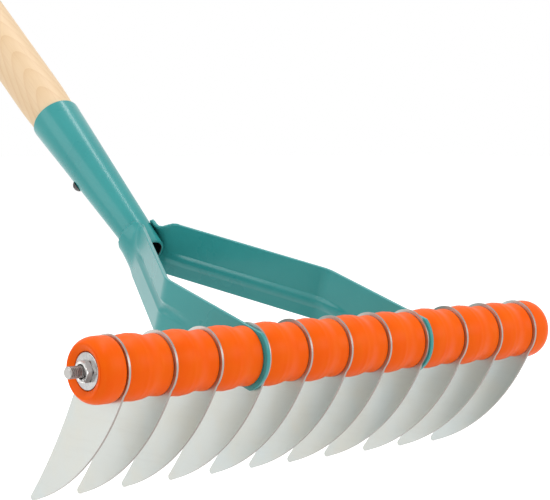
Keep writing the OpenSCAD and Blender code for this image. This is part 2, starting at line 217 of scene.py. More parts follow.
def close_edit(merge=0.0005):
    """Merges doubles, drops loose bits, turns the faces outwards and leaves edit mode."""
    bpy.ops.mesh.select_all(action="SELECT")
    bpy.ops.mesh.remove_doubles(threshold=merge)
    bpy.ops.mesh.delete_loose()
    bpy.ops.mesh.select_all(action="SELECT")
    bpy.ops.mesh.normals_make_consistent(inside=False)
    bpy.ops.object.mode_set(mode="OBJECT")


def join(first, *others):
    """Joins pieces into the first one."""
    bpy.ops.object.select_all(action="DESELECT")
    for piece in (first, *others):
        piece.select_set(True)
    bpy.context.view_layer.objects.active = first
    bpy.ops.object.join()
    return first


def modify(piece, kind, **values):
    """Adds a modifier with these values and applies it."""
    bpy.ops.object.select_all(action="DESELECT")
    piece.select_set(True)
    bpy.context.view_layer.objects.active = piece
    modifier = piece.modifiers.new(kind.title(), kind)
    for key, value in values.items():
        setattr(modifier, key, value)
    bpy.ops.object.modifier_apply(modifier=modifier.name)


def soften(piece, width, angle, segments=3):
    """Rounds a piece's sharp edges and keeps its flats flat."""
    modify(piece, "BEVEL", width=width, segments=segments, limit_method="ANGLE",
           angle_limit=math.radians(angle))
    bpy.ops.object.shade_smooth()
    modify(piece, "WEIGHTED_NORMAL", weight=100)


def shade(piece, angle=35):
    """Smooth shading, with edges sharper than the angle kept."""
    bpy.ops.object.select_all(action="DESELECT")
    piece.select_set(True)
    bpy.context.view_layer.objects.active = piece
    bpy.ops.object.shade_smooth_by_angle(angle=math.radians(angle))


def turned(section, steps=STEPS_ROUND):
    """A turned piece from its half section, a closed loop of radius and height points."""
    piece = loop([(r, 0, h) for r, h in section])
    edit(piece)
    bpy.ops.mesh.spin(steps=steps, angle=2 * math.pi, center=(0, 0, 0), axis=(0, 0, 1))
    close_edit()
    return piece


def plate(outline, hole, thickness, edge):
    """A flat plate with one hole, its edges softened."""
    piece = join(loop(outline), loop(hole))
    edit(piece)
    bpy.ops.mesh.fill(use_beauty=False)
    bpy.ops.mesh.select_all(action="SELECT")
    bpy.ops.mesh.extrude_region_move(TRANSFORM_OT_translate={"value": (0, 0, thickness)})
    close_edit()
    soften(piece, edge, 30)
    return piece


def copy_of(piece):
    """A copy of a piece with a mesh of its own."""
    twin = piece.copy()
    twin.data = piece.data.copy()
    bpy.context.scene.collection.objects.link(twin)
    return twin


def put(piece, place):
    """Moves a piece's mesh from where it was modelled to its place in the frame."""
    piece.data.transform(place)
    if place.determinant() < 0:
        piece.data.flip_normals()
    piece.data.update()


def hand_over(piece, name, finish, body, slot, *nodes):
    """Names a finished piece, gives it its finish and hangs it on its body in place of the solids."""
    piece.name = name
    piece.data.name = name
    piece.data.materials.clear()
    piece.data.materials.append(finish)
    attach(piece, body)
    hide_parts(*nodes)


# Finishes

def add(tree, kind, values=None, **settings):
    """A node with its settings and the values of its sockets."""
    node = tree.nodes.new(kind)
    for key, value in settings.items():
        setattr(node, key, value)
    for key, value in (values or {}).items():
        node.inputs[key].default_value = value
    return node


def linear(red, green, blue):
    """A colour as it looks on screen, 0 to 255, as the renderer's own numbers."""
    parts = [c / 255 for c in (red, green, blue)]
    return tuple(c / 12.92 if c < 0.04045 else ((c + 0.055) / 1.055) ** 2.4 for c in parts) + (1.0,)


def group(name, inputs, outputs):
    """An empty node group with named sockets, its input node and its output node."""
    tree = bpy.data.node_groups.new(name, "ShaderNodeTree")
    for label, kind, value in inputs:
        socket = tree.interface.new_socket(label, in_out="INPUT", socket_type=kind)
        if value is not None:
            socket.default_value = value
    for label, kind in outputs:
        tree.interface.new_socket(label, in_out="OUTPUT", socket_type=kind)
    return tree, tree.nodes.new("NodeGroupInput"), tree.nodes.new("NodeGroupOutput")


def cloud_group():
    """Soft uneven patches, from 0 to 1."""
    inputs = [("Vector", "NodeSocketVector", None), ("Scale", "NodeSocketFloat", 40.0),
              ("Low", "NodeSocketFloat", 0.35), ("High", "NodeSocketFloat", 0.65)]
    tree, enter, leave = group("cloudy_patches", inputs, [("Mask", "NodeSocketFloat")])
    clouds = add(tree, "ShaderNodeTexNoise", {"Detail": 4.0, "Roughness": 0.55})
    spread = add(tree, "ShaderNodeMapRange")
    tree.links.new(enter.outputs["Vector"], clouds.inputs["Vector"])
    tree.links.new(enter.outputs["Scale"], clouds.inputs["Scale"])
    tree.links.new(clouds.outputs["Fac"], spread.inputs["Value"])
    tree.links.new(enter.outputs["Low"], spread.inputs["From Min"])
    tree.links.new(enter.outputs["High"], spread.inputs["From Max"])
    tree.links.new(spread.outputs["Result"], leave.inputs["Mask"])
    return tree


def skin_group():
    """The fine unevenness of a sprayed, moulded or plated skin, as a height."""
    inputs = [("Vector", "NodeSocketVector", None), ("Fine", "NodeSocketFloat", 900.0),
              ("Broad", "NodeSocketFloat", 120.0), ("Share", "NodeSocketFloat", 0.5)]
    tree, enter, leave = group("fine_skin", inputs, [("Height", "NodeSocketFloat")])
    fine = add(tree, "ShaderNodeTexNoise", {"Detail": 2.0})
    broad = add(tree, "ShaderNodeTexNoise", {"Detail": 1.0})
    blend = add(tree, "ShaderNodeMix")
    for texture, size in ((fine, "Fine"), (broad, "Broad")):
        tree.links.new(enter.outputs["Vector"], texture.inputs["Vector"])
        tree.links.new(enter.outputs[size], texture.inputs["Scale"])
    tree.links.new(enter.outputs["Share"], blend.inputs["Factor"])
    tree.links.new(fine.outputs["Fac"], blend.inputs["A"])
    tree.links.new(broad.outputs["Fac"], blend.inputs["B"])
    tree.links.new(blend.outputs["Result"], leave.inputs["Height"])
    return tree


def scuff_group():
    """Thin scratches and rubs that run one way, from 0 to 1."""
    inputs = [("Vector", "NodeSocketVector", None), ("Scale", "NodeSocketFloat", 300.0),
              ("Stretch", "NodeSocketVector", (1.0, 0.06, 1.0)), ("Amount", "NodeSocketFloat", 0.3)]
    tree, enter, leave = group("thin_scuffs", inputs, [("Mask", "NodeSocketFloat")])
    pull = add(tree, "ShaderNodeVectorMath", operation="MULTIPLY")
    lines = add(tree, "ShaderNodeTexNoise", {"Detail": 5.0, "Roughness": 0.7})
    spread = add(tree, "ShaderNodeMapRange", {"From Min": 0.52, "From Max": 0.8})
    share = add(tree, "ShaderNodeMath", operation="MULTIPLY")
    tree.links.new(enter.outputs["Vector"], pull.inputs[0])
    tree.links.new(enter.outputs["Stretch"], pull.inputs[1])
    tree.links.new(pull.outputs["Vector"], lines.inputs["Vector"])
    tree.links.new(enter.outputs["Scale"], lines.inputs["Scale"])
    tree.links.new(lines.outputs["Fac"], spread.inputs["Value"])
    tree.links.new(spread.outputs["Result"], share.inputs[0])
    tree.links.new(enter.outputs["Amount"], share.inputs[1])
    tree.links.new(share.outputs["Value"], leave.inputs["Mask"])
    return tree


CLOUDS = cloud_group()
SKIN = skin_group()
SCUFFS = scuff_group()


class Finish:
    """A material whose nodes are added one by one."""

    def __init__(self, name, **surface):
        self.material = bpy.data.materials.new(name)
        self.material.use_nodes = True
        self.tree = self.material.node_tree
        self.surface = self.tree.nodes["Principled BSDF"]
        for key, value in surface.items():
            self.surface.inputs[key.replace("_", " ").title()].default_value = value
        coordinates = add(self.tree, "ShaderNodeTexCoord")
        self.place = coordinates.outputs["Object"]
        self.facing = coordinates.outputs["Normal"]

    def join(self, out, into):
        self.tree.links.new(out, into)

    def shared(self, tree, vector=None, **values):
        """One of the shared effects, with its own values."""
        node = add(self.tree, "ShaderNodeGroup", node_tree=tree)
        for key, value in values.items():
            node.inputs[key].default_value = value
        self.join(vector or self.place, node.inputs["Vector"])
        return node.outputs[0]

    def mix(self, mask, first, second):
        """A colour between two others; each is a colour or a node's output."""
        node = add(self.tree, "ShaderNodeMix", data_type="RGBA")
        self.join(mask, node.inputs["Factor"])
        for value, socket in ((first, node.inputs["A"]), (second, node.inputs["B"])):
            colour = [s for s in node.inputs if s.name == socket.name and s.type == "RGBA"][0]
            if isinstance(value, tuple):
                colour.default_value = value
            else:
                self.join(value, colour)
        return [s for s in node.outputs if s.type == "RGBA"][0]

    def ramp(self, value, low, high):
        """A value spread between two numbers."""
        node = add(self.tree, "ShaderNodeMapRange", {"To Min": low, "To Max": high})
        self.join(value, node.inputs["Value"])
        return node.outputs["Result"]

    def maths(self, operation, first, second):
        node = add(self.tree, "ShaderNodeMath", operation=operation)
        for value, socket in zip((first, second), node.inputs):
            if isinstance(value, (int, float)):
                socket.default_value = value
            else:
                self.join(value, socket)
        return node.outputs["Value"]

    def bump(self, height, distance, strength=1.0):
        node = add(self.tree, "ShaderNodeBump", {"Distance": distance, "Strength": strength})
        self.join(height, node.inputs["Height"])
        self.join(node.outputs["Normal"], self.surface.inputs["Normal"])

    def colour(self, out):
        self.join(out, self.surface.inputs["Base Color"])

    def roughness(self, out):
        self.join(out, self.surface.inputs["Roughness"])


def socket_vector(finish):
    """Places in the socket's own frame, its length along Z, in metres."""
    turn = on_socket.to_3x3().normalized().inverted()
    stand = add(finish.tree, "ShaderNodeMapping")
    stand.inputs["Rotation"].default_value = turn.to_euler()
    stand.inputs["Location"].default_value = -(turn @ on_socket.translation)
    finish.join(finish.place, stand.inputs["Vector"])
    return stand.outputs["Vector"]


def socket_inside_shade(finish):
    """1 on the socket's inner wall, where painted shade darkens the inside, and 0 elsewhere."""
    skin = 0.0003
    stand = socket_vector(finish)
    flat = add(finish.tree, "ShaderNodeVectorMath", operation="MULTIPLY")
    flat.inputs[1].default_value = (1.0, 1.0, 0.0)
    finish.join(stand, flat.inputs[0])
    out = add(finish.tree, "ShaderNodeVectorMath", operation="LENGTH")
    finish.join(flat.outputs["Vector"], out.inputs[0])
    parts = add(finish.tree, "ShaderNodeSeparateXYZ")
    finish.join(stand, parts.inputs["Vector"])
    wall = finish.maths("MULTIPLY", parts.outputs["Z"], SOCKET_SLOPE)
    inner = finish.maths("ADD", wall, (SOCKET_END_R - SOCKET_WALL) * MM + skin)
    return finish.maths("LESS_THAN", out.outputs["Value"], inner)


def teal_paint():
    """Sprayed teal gloss paint with a little orange peel; the socket's inside is painted near black as
    shade.
    """
    paint = Finish("teal_paint", coat_weight=0.12, coat_roughness=0.08)
    paint.surface.inputs["Specular IOR Level"].default_value = 0.3
    patches = paint.shared(CLOUDS, Scale=26.0, Low=0.3, High=0.7)
    specks = paint.shared(CLOUDS, Scale=700.0, Low=0.55, High=0.8)
    ground = paint.mix(patches, linear(51, 152, 152), linear(57, 158, 157))
    sprayed = paint.mix(paint.ramp(specks, 0.0, 0.1), ground, linear(84, 168, 166))
    # painted shade: the socket's inner wall is coloured near black
    paint.colour(paint.mix(socket_inside_shade(paint), sprayed, linear(24, 27, 28)))
    paint.roughness(paint.ramp(patches, 0.26, 0.3))
    paint.bump(paint.shared(SKIN, Fine=1500.0, Broad=260.0, Share=0.7), 0.00002, 0.2)
    return paint.material


def orange_plastic():
    """Moulded orange plastic with a satin skin and faint flow marks."""
    plastic = Finish("orange_plastic")
    plastic.surface.inputs["Specular IOR Level"].default_value = 0.1
    patches = plastic.shared(CLOUDS, Scale=70.0, Low=0.3, High=0.7)
    rubs = plastic.shared(SCUFFS, Scale=240.0, Stretch=(1.0, 0.15, 0.15), Amount=0.35)
    ground = plastic.mix(patches, linear(255, 96, 0), linear(255, 104, 3))
    plastic.colour(plastic.mix(rubs, ground, linear(255, 120, 26)))
    plastic.roughness(plastic.ramp(patches, 0.34, 0.44))
    plastic.bump(plastic.shared(SKIN, Fine=2200.0, Broad=180.0, Share=0.8), 0.0001, 0.4)
    return plastic.material


def blade_steel():
    """Zinc plated sheet with faint yellow and blue clouds and rolling lines."""
    edge_slope = 0.75
    steel = Finish("blade_steel", metallic=1.0)
    warm = steel.shared(CLOUDS, Scale=30.0, Low=0.42, High=0.72)
    cool = steel.shared(CLOUDS, Scale=19.0, Low=0.5, High=0.78)
    lines = steel.shared(SCUFFS, Scale=420.0, Stretch=(1.0, 0.07, 1.0), Amount=0.22)
    ground = steel.mix(warm, linear(190, 193, 189), linear(196, 195, 186))
    tinted = steel.mix(cool, ground, linear(186, 195, 196))
    sheet = steel.mix(lines, tinted, linear(178, 177, 172))
    way = add(steel.tree, "ShaderNodeSeparateXYZ")
    steel.join(steel.facing, way.inputs["Vector"])
    turned_off = steel.maths("ABSOLUTE", way.outputs["X"], 0.0)
    cut_edge = steel.maths("LESS_THAN", turned_off, edge_slope)
    steel.colour(steel.mix(cut_edge, sheet, linear(154, 148, 143)))
    steel.roughness(steel.maths("ADD", steel.ramp(warm, 0.36, 0.46), steel.ramp(lines, 0.0, 0.08)))
    steel.bump(steel.shared(SKIN, Fine=1800.0, Broad=300.0, Share=0.4), 0.00004, 0.4)
    return steel.material


def off_axle(finish):
    """Distances from the middle of the row along the axle and out from the axle, in metres."""
    middle = add(finish.tree, "ShaderNodeMapping")
    middle.inputs["Location"].default_value = -axle
    finish.join(finish.place, middle.inputs["Vector"])
    along = add(finish.tree, "ShaderNodeSeparateXYZ")
    finish.join(middle.outputs["Vector"], along.inputs["Vector"])
    flat = add(finish.tree, "ShaderNodeVectorMath", operation="MULTIPLY")
    flat.inputs[1].default_value = (0.0, 1.0, 1.0)
    finish.join(middle.outputs["Vector"], flat.inputs[0])
    out = add(finish.tree, "ShaderNodeVectorMath", operation="LENGTH")
    finish.join(flat.outputs["Vector"], out.inputs[0])
    return finish.maths("ABSOLUTE", along.outputs["X"], 0.0), out.outputs["Value"]


def rod_steel():
    """Dull rolled thread with painted shade in its grooves, and bright cut ends."""
    root_r = 2.45
    crest_r = THREAD_R - 0.08
    end_slope = 0.55
    end_depth = 0.9
    rod = Finish("rod_steel", metallic=1.0)
    reach, out = off_axle(rod)
    crest = add(rod.tree, "ShaderNodeMapRange", {"From Min": root_r * MM, "From Max": crest_r * MM})
    rod.join(out, crest.inputs["Value"])
    patches = rod.shared(CLOUDS, Scale=420.0, Low=0.35, High=0.7)
    worn = rod.mix(patches, linear(108, 104, 102), linear(150, 146, 143))
    # painted shade: the thread's grooves go near black, its crests keep the plated grey
    thread = rod.mix(crest.outputs["Result"], linear(30, 28, 27), worn)
    way = add(rod.tree, "ShaderNodeSeparateXYZ")
    rod.join(rod.facing, way.inputs["Vector"])
    cut_end = rod.maths("GREATER_THAN", rod.maths("ABSOLUTE", way.outputs["X"], 0.0), end_slope)
    tip = rod.maths("LESS_THAN", rod.maths("SUBTRACT", ROD_END * MM, reach), end_depth * MM)
    rod.colour(rod.mix(rod.maths("MULTIPLY", cut_end, tip), thread, linear(176, 174, 171)))
    rod.roughness(rod.ramp(patches, 0.28, 0.42))
    rod.bump(rod.shared(SKIN, Fine=3200.0, Broad=700.0, Share=0.5), 0.00004, 0.4)
    return rod.material


def zinc_steel():
    """Zinc plating on the washers and sleeves."""
    zinc = Finish("zinc_steel", metallic=1.0)
    patches = zinc.shared(CLOUDS, Scale=320.0, Low=0.35, High=0.7)
    zinc.colour(zinc.mix(patches, linear(164, 165, 166), linear(194, 193, 190)))
    zinc.roughness(zinc.ramp(patches, 0.2, 0.36))
    zinc.bump(zinc.shared(SKIN, Fine=3200.0, Broad=700.0, Share=0.5), 0.00005, 0.4)
    return zinc.material


def nut_zinc():
    """Bright smooth zinc plating, with painted shade in the nut's bore."""
    bore_shade_r = 3.65
    bright = Finish("nut_zinc", metallic=1.0)
    out = off_axle(bright)[1]
    patches = bright.shared(CLOUDS, Scale=240.0, Low=0.35, High=0.7)
    plated = bright.mix(patches, linear(214, 213, 211), linear(234, 232, 229))
    # painted shade: a near black ring inside the nut's bore
    bright.colour(bright.mix(bright.maths("LESS_THAN", out, bore_shade_r * MM), plated, linear(34, 32, 30)))
    bright.roughness(bright.ramp(patches, 0.3, 0.4))
    return bright.material


def black_screw():
    """Blackened steel, rubbed a little."""
    black = Finish("black_screw", metallic=1.0)
    patches = black.shared(CLOUDS, Scale=500.0, Low=0.4, High=0.75)
    black.colour(black.mix(patches, linear(62, 62, 64), linear(104, 103, 102)))
    black.roughness(black.ramp(patches, 0.22, 0.4))
    black.bump(black.shared(SKIN, Fine=2500.0, Broad=800.0, Share=0.5), 0.00004, 0.4)
    return black.material


def ash_wood():
    """Pale turned ash: growth rings that run out as arches, and short pores along the grain."""
    wood = Finish("ash_wood")
    grain = socket_vector(wood)
    # the growth rings are cut as arches that peak away from the socket
    arch_step = 0.017
    arch_fall = 240.0
    face_way = Vector((0.8, -0.6, 0.0))
    aside = add(wood.tree, "ShaderNodeVectorMath", operation="DOT_PRODUCT")
    aside.inputs[1].default_value = face_way
    wood.join(grain, aside.inputs[0])
    across = aside.outputs["Value"]
    parts = add(wood.tree, "ShaderNodeSeparateXYZ")
    wood.join(grain, parts.inputs["Vector"])
    fall = wood.maths("MULTIPLY", wood.maths("MULTIPLY", across, across), arch_fall)
    arches = add(wood.tree, "ShaderNodeCombineXYZ")
    wood.join(across, arches.inputs["X"])
    wood.join(wood.maths("ADD", parts.outputs["Z"], fall), arches.inputs["Z"])
    rings = add(wood.tree, "ShaderNodeTexWave", {"Scale": 2 * math.pi / (20 * arch_step), "Distortion": 1.6,
                                                "Detail": 2.0, "Detail Scale": 0.5},
                wave_type="BANDS", bands_direction="Z", wave_profile="SAW")
    wood.join(arches.outputs["Vector"], rings.inputs["Vector"])
    pores = wood.shared(SCUFFS, vector=grain, Scale=900.0, Stretch=(1.0, 1.0, 0.03), Amount=0.8)
    streaks = wood.shared(SCUFFS, vector=grain, Scale=160.0, Stretch=(1.0, 1.0, 0.02), Amount=0.9)
    late = wood.maths("MULTIPLY", wood.maths("POWER", rings.outputs["Fac"], 3.0), 0.7)
    ground = wood.mix(late, linear(239, 209, 169), linear(227, 190, 144))
    streaked = wood.mix(wood.maths("MULTIPLY", streaks, 0.35), ground, linear(226, 188, 142))
    wood.colour(wood.mix(wood.maths("MULTIPLY", pores, 0.5), streaked, linear(205, 163, 116)))
    wood.roughness(wood.ramp(late, 0.5, 0.42))
    wood.bump(wood.maths("ADD", pores, wood.maths("MULTIPLY", late, 0.4)), 0.00006, 0.4)
    return wood.material


PAINT = teal_paint()
PLASTIC = orange_plastic()
BLADE = blade_steel()
ZINC = zinc_steel()
NUT_ZINC = nut_zinc()
ROD = rod_steel()
BLACK = black_screw()
ASH = ash_wood()

# The handle, its socket and the screw

def socket_r(s):
    """Outer radius of the socket at a height above its lower end."""
    return SOCKET_END_R + SOCKET_SLOPE * s


def seat_r(s):
    """Radius of the handle where it sits in the socket."""
    return socket_r(s) - SOCKET_WALL - SOCKET_PLAY


def make_handle():
    chamfer = 1.0
    taper_steps = 16
    dome_steps = 24
    bow = 0.9
    mouth_r = seat_r(SOCKET_LENGTH)
    taper = []
    for i in range(taper_steps + 1):
        t = i / taper_steps
        r = mouth_r + (HANDLE_R - mouth_r) * math.sin(t * math.pi / 2) ** bow
        taper.append((r, SOCKET_LENGTH + HANDLE_TAPER * t))
    dome = arc((0, HANDLE_END - HANDLE_R), HANDLE_R, 0, 90, dome_steps)
    section = [(0, HANDLE_START), (seat_r(HANDLE_START) - chamfer, HANDLE_START),
               (seat_r(HANDLE_START + chamfer), HANDLE_START + chamfer)]
    section += taper + dome[:-1] + [(0, HANDLE_END)]
    piece = turned(section)
    shade(piece)
    put(piece, on_socket)
    hand_over(piece, "ash_handle", ASH, "fork", "ash_wood", "handle")


def make_socket():
    rim = 0.7
    inner_rim = 0.3
    foot = 0.6
    inner_foot = 0.4
    inner_end = SOCKET_END_R - SOCKET_WALL
    inner_mouth = SOCKET_MOUTH_R - SOCKET_WALL
    piece = turned(rounded([
        (inner_end, 0, inner_foot), (SOCKET_END_R, 0, foot), (SOCKET_MOUTH_R, SOCKET_LENGTH, rim),
        (inner_mouth, SOCKET_LENGTH, inner_rim)]))
    shade(piece)
    put(piece, on_socket)
    hand_over(piece, "socket_tube", PAINT, "fork", "teal_paint", "socket")


def make_screw():
    point = 3.0
    draw = 0.1
    undercut = 0.3
    edge = 0.12
    slot_w = 1.0
    slot_h = 0.9
    dome_r = (SCREW_HEAD_R ** 2 + SCREW_HEAD_H ** 2) / (2 * SCREW_HEAD_H)
    dome_c = SCREW_HEAD_H - dome_r
    dome_steps = 14
    foot = math.degrees(math.asin(-dome_c / dome_r))
    dome = arc((0, dome_c), dome_r, foot, 90, dome_steps)
    section = [(0, -SCREW_LENGTH), (SCREW_SHANK_R, point - SCREW_LENGTH), (SCREW_SHANK_R, 0),
               (SCREW_HEAD_R - undercut, 0)] + dome[1:-1] + [(0, SCREW_HEAD_H)]
    piece = turned(section, 64)
    bpy.ops.object.select_all(action="DESELECT")
    bpy.ops.mesh.primitive_cube_add(size=1)
    cutter = bpy.context.object
    cutter.data.transform(Matrix.Translation((0, 0, SCREW_HEAD_H)) @ Matrix.Diagonal(
        (slot_w, 4 * SCREW_HEAD_R, 2 * slot_h, 1)))
    modify(piece, "BOOLEAN", operation="DIFFERENCE", object=cutter, solver="EXACT")
    bpy.data.objects.remove(cutter)
    soften(piece, edge, 40, 2)
    put(piece, on_socket @ Matrix.Translation((0, 0, SCREW_HEIGHT))
        @ Matrix.Rotation(math.radians(180 - SCREW_TURN), 4, "Z") @ Matrix.Rotation(math.pi / 2, 4, "Y")
        @ Matrix.Translation((0, 0, socket_r(SCREW_HEIGHT) - draw)))
    hand_over(piece, "socket_screw", BLACK, "fork", "black_screw", "handle_screw")


# The fork's two arms and their welds

WRAP_EASE = 6.0
JOINT_LEAD = 1.0
PLATE_END = 30.0
PLATE_HOLD = 5.0
CREASE_LEAD = 14.0
CREASE_SETTLE = 2.0
CREASE_RUN_OUT = 14.0
HALF_W = STRIP_W / 2
JOINT_U = FORK_REACH - JOINT_LEAD
JOINT_X = SOCKET_END_R + WRAP_PLAY + STRIP_T / 2
SPLAY = math.atan((EYE_X - JOINT_X) / (JOINT_U - FORK_BEND))
CONE_TURN = math.atan(SOCKET_SLOPE / math.cos(SOCKET_TURN))
BEND_MID_R = BEND_R + STRIP_T / 2
ARM_FIRST = PLATE_END - PLATE_HOLD
WRAP_FROM = FORK_REACH - WRAP_EASE
RUN_BACK = 8.0
socket_in_fork = on_fork.inverted() @ on_socket
WRAP_TO = FORK_REACH + WRAP_L * math.cos(SOCKET_TURN)


def crease_at(u):
    """Depth of the pressed crease at a distance from the axle."""
    start = PLATE_END + CREASE_LEAD
    full = FORK_BEND + CREASE_SETTLE
    run_out = smooth((u - FORK_REACH + CREASE_RUN_OUT) / CREASE_RUN_OUT)
    return CREASE_DEPTH * smooth((u - start) / (full - start)) * (1 - run_out)


def rib(w, ridge):
    """Section of the crease: 1 on its ridge and 0 beside it."""
    a = min(max(2 * (w - ridge) / CREASE_W, -1.0), 1.0)
    return math.cos(a * math.pi / 2) ** 2


def half_at(u):
    """Half the strip's width at a distance from the axle, less where the half shell's corners are cut."""
    return HALF_W - WRAP_TAPER * smooth((u - WRAP_FROM) / (WRAP_TO - WRAP_FROM))


def arm_point(p, d, q, ridge):
    """A point on the middle of the strip, q across it, at place p and direction d of its path."""
    lift = crease_at(p.y) * rib(q, ridge)
    flat = Vector((p.x - d.y * lift, p.y + d.x * lift, q))
    h = smooth((p.y - WRAP_FROM) / (WRAP_TO - WRAP_FROM))
    s = (p.y - FORK_REACH) / math.cos(SOCKET_TURN)
    near = socket_r(s) + WRAP_PLAY + STRIP_T / 2
    r = near * WRAP_LOOSE
    up = r * math.sin(q / r)
    shell = Vector((
        r * math.cos(q / r) - (r - near),
        FORK_REACH + s * math.cos(SOCKET_TURN) - up * math.sin(SOCKET_TURN),
        s * math.sin(SOCKET_TURN) + up * math.cos(SOCKET_TURN) - FORK_DROP))
    return flat.lerp(shell, h)


def arm_path():
    """Points and directions along an arm, in the fork's plane."""
    run_steps = 26
    flat_steps = 10
    bend_steps = 12
    joint_steps = 16
    end_steps = 10
    way_in = Vector((-math.sin(SPLAY), math.cos(SPLAY)))
    way_end = Vector((math.sin(CONE_TURN), math.cos(CONE_TURN)))
    bend_at = Vector((EYE_X, FORK_BEND))
    joint_at = Vector((JOINT_X, JOINT_U))
    bend_reach = BEND_MID_R * math.tan(SPLAY / 2)
    joint_turn = SPLAY + CONE_TURN
    joint_reach = JOINT_R * math.tan(joint_turn / 2)
    bend_from = bend_at - Vector((0, bend_reach))
    bend_to = bend_at + way_in * bend_reach
    joint_from = joint_at - way_in * joint_reach
    joint_to = joint_at + way_end * joint_reach
    end_at = joint_at + way_end * ((WRAP_TO - JOINT_U) / way_end.y)
    first = Vector((EYE_X, ARM_FIRST))
    path = [(first.lerp(bend_from, i / flat_steps), Vector((0, 1))) for i in range(flat_steps)]
    for i in range(bend_steps + 1):
        a = SPLAY * i / bend_steps
        path.append((bend_from + BEND_MID_R * Vector((math.cos(a) - 1, math.sin(a))),
                     Vector((-math.sin(a), math.cos(a)))))
    path += [(bend_to.lerp(joint_from, i / run_steps), way_in) for i in range(1, run_steps)]
    for i in range(joint_steps + 1):
        a = SPLAY - joint_turn * i / joint_steps
        bow = Vector((math.cos(SPLAY) - math.cos(a), math.sin(SPLAY) - math.sin(a)))
        path.append((joint_from + JOINT_R * bow, Vector((-math.sin(a), math.cos(a)))))
    path += [(joint_to.lerp(end_at, i / end_steps), way_end) for i in range(1, end_steps + 1)]
    return path


def make_arm(ridge):
    """An arm of the right side: a bent strip with its eye, and a crease at a height on the strip."""
    across_steps = 48
    eye_steps = 40
    eye_rings = 6
    merge = 0.002
    edge = 0.55
    path = arm_path()
    rows = [-HALF_W + STRIP_W * j / across_steps for j in range(across_steps + 1)]
    bpy.ops.object.select_all(action="DESELECT")
    bpy.ops.mesh.primitive_grid_add(x_subdivisions=across_steps, y_subdivisions=len(path) - 1, size=1)
    strip = bpy.context.object
    for vertex in strip.data.vertices:
        q = rows[round((vertex.co.x + 0.5) * across_steps)]
        p, d = path[round((vertex.co.y + 0.5) * (len(path) - 1))]
        vertex.co = arm_point(p, d, q * half_at(p.y) / HALF_W, ridge)
    corner = math.degrees(math.asin(HALF_W / EYE_R))
    round_end = arc((0, 0), EYE_R, 180 - corner, 180 + corner, eye_steps)
    outline = [Vector((ARM_FIRST, q)) for q in rows] + [Vector(point) for point in round_end]
    count = len(outline)
    bpy.ops.object.select_all(action="DESELECT")
    bpy.ops.mesh.primitive_grid_add(x_subdivisions=count, y_subdivisions=eye_rings, size=1)
    eye = bpy.context.object
    for vertex in eye.data.vertices:
        rim = outline[round((vertex.co.x + 0.5) * count) % count]
        bore = rim.normalized() * BORE_R
        u, w = rim.lerp(bore, round((vertex.co.y + 0.5) * eye_rings) / eye_rings)
        vertex.co = (EYE_X, u, w)
    arm = join(strip, eye)
    edit(arm)
    close_edit(merge)
    modify(arm, "SOLIDIFY", thickness=STRIP_T, offset=0, use_even_offset=True)
    edit(arm)
    close_edit(merge)
    soften(arm, edge, 50)
    return arm


def weld_bead(seed, ridge, rough):
    """A rippled bead round the end of a right arm's half shell, and down its upper edge."""
    ripple = 2.5
    step = 0.4
    arc_r = 1.3
    run_r = 1.05
    sink = 0.2
    lift = 0.4
    stand_off = 1.2
    drift = 0.3
    fullness = 0.92
    lumps = 1.6
    end_size = 0.45
    fade_steps = 6
    near = socket_r(WRAP_L) + WRAP_PLAY + STRIP_T / 2
    curl = half_at(WRAP_TO) / (near * WRAP_LOOSE)
    edge = math.atan2(math.sin(curl), math.cos(curl) - 1 + 1 / WRAP_LOOSE)
    lie = socket_r(WRAP_L) + lift
    path = []
    for i in range(int(2 * edge * lie / step) + 1):
        a = edge - i * step / lie
        out = lie + stand_off * (a / edge) ** 4
        path.append(socket_in_fork @ Vector((out * math.cos(a), out * math.sin(a), WRAP_L + lift)))
    arc_count = len(path)
    for p, d in reversed(arm_path()):
        if p.y > FORK_REACH - RUN_BACK:
            path.append(arm_point(p, d, half_at(p.y) - sink, ridge))
    curve = bpy.data.curves.new("weld", "CURVE")
    curve.dimensions = "3D"
    curve.bevel_depth = 1.0
    curve.bevel_resolution = 5
    curve.use_fill_caps = True
    spline = curve.splines.new("POLY")
    spline.points.add(len(path) - 1)
    along = 0.0
    for i, (point, at) in enumerate(zip(spline.points, path)):
        along += (at - path[max(i - 1, 0)]).length
        wave = math.sin(2 * math.pi * (along / ripple + drift * noise.noise((along * 0.2, seed, 0))))
        thick = fullness + rough * (wave + lumps * noise.noise((along * 0.45, seed, 5)))
        size = arc_r if i < arc_count else run_r
        fade = smooth(min(i, len(path) - 1 - i) / fade_steps)
        point.co = (*at, 1)
        point.radius = size * thick * (end_size + (1 - end_size) * fade)
    piece = bpy.data.objects.new("weld", curve)
    bpy.context.scene.collection.objects.link(piece)
    bpy.ops.object.select_all(action="DESELECT")
    piece.select_set(True)
    bpy.context.view_layer.objects.active = piece
    bpy.ops.object.convert(target="MESH")
    piece = bpy.context.object
    edit(piece)
    close_edit()
    shade(piece, 60)
    return piece


def make_fork():
    right = make_arm(CREASE_RIGHT)
    left = make_arm(CREASE_LEFT)
    put(right, on_fork)
    put(left, on_fork @ mirror_x)
    hand_over(right, "fork_arm_right", PAINT, "fork", "teal_paint", "arm_right")
    hand_over(left, "fork_arm_left", PAINT, "fork", "teal_paint", "arm_left")
    for seed, side, ridge, rough in ((3, "right", CREASE_RIGHT, 0.06), (8, "left", CREASE_LEFT, 0.26)):
        bead = weld_bead(seed, ridge, rough)
        put(bead, on_fork if side == "right" else on_fork @ mirror_x)
        hand_over(bead, "weld_bead_" + side, PAINT, "fork", "teal_paint", "weld_" + side)


# The blades

def meet(a, ra, b, rb):
    """The lower point where two circles cross."""
    way = (b - a).normalized()
    far = (b - a).length
    k = (ra * ra - rb * rb + far * far) / (2 * far)
    return a + way * k + Vector((way.y, -way.x)) * math.sqrt(ra * ra - k * k)


def polar(radius, degrees):
    """A flat vector of a length in a direction."""
    turn = math.radians(degrees)
    return Vector((math.cos(turn), math.sin(turn))) * radius


